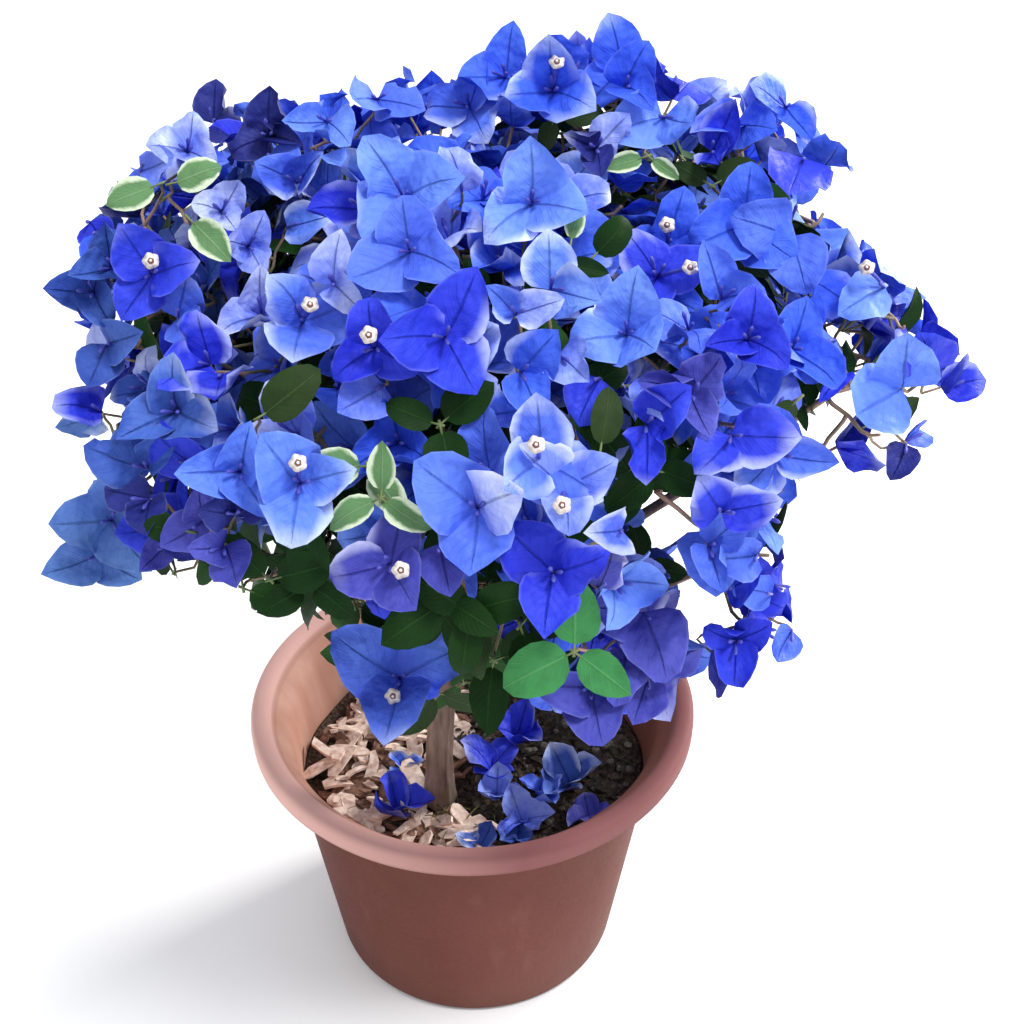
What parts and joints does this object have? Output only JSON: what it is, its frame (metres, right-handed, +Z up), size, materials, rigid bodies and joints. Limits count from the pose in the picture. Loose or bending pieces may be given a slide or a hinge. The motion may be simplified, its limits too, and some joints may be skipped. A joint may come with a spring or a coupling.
{
  "type": "bougainvillea bush",
  "caption": "Bushy bougainvillea with blue papery bracts on a slim trunk, growing in a round tapered pot with a wide turned-out lip.",
  "frame": {"origin": "centre of the pot's flat underside, on the ground", "axes": "+Z up along the pot's axis, +X to the right and +Y away from the viewer in the view of the picture"},
  "size_m": [0.4613, 0.4206, 0.5368],
  "materials": {
    "pot": "matte terracotta-coloured plastic",
    "soil": "loose potting soil with bark chips",
    "bark": "grey-brown bark",
    "blossom": "thin papery bracts",
    "leaves": "semi-gloss green leaves"
  },
  "bodies": {
    "root": {"pot": "pot", "soil": "soil", "trunk": "bark", "bough_front_spray": "bark", "bough_hang_right": "bark", "bough_left_tip": "bark", "bough_hang_front": "bark", "bough_right_tip": "bark", "bough_back_right": "bark", "bough_back_left": "bark", "bough_back_skirt": "bark", "bough_skirt_front": "bark", "bough_back_centre": "bark", "bough_skirt_left": "bark", "bough_front_centre": "bark", "bough_front_left": "bark", "bough_right": "bark", "bough_front_right": "bark", "bough_left": "bark", "bough_top_right": "bark", "bough_top_left": "bark", "bough_top_front": "bark", "foliage_top_right": "blossom", "foliage_top_left": "blossom", "foliage_top_front": "blossom", "foliage_right": "blossom", "foliage_right_tip": "blossom", "foliage_left": "blossom", "foliage_front_right": "blossom", "foliage_front_left": "blossom", "foliage_front_centre": "blossom", "foliage_left_tip": "blossom", "foliage_hang_right": "blossom", "foliage_hang_front": "blossom", "foliage_front_spray": "blossom", "foliage_skirt_left": "leaves", "foliage_skirt_front": "leaves", "foliage_back_left": "blossom", "foliage_back_centre": "blossom", "foliage_back_right": "blossom", "foliage_back_skirt": "leaves", "fallen_bracts_1": "blossom", "fallen_bracts_2": "blossom", "fallen_bracts_3": "blossom", "fallen_bracts_4": "blossom", "fallen_bracts_5": "blossom", "fallen_bracts_6": "blossom", "fallen_bracts_7": "blossom", "fallen_bracts_8": "blossom"}
  },
  "joints": []
}
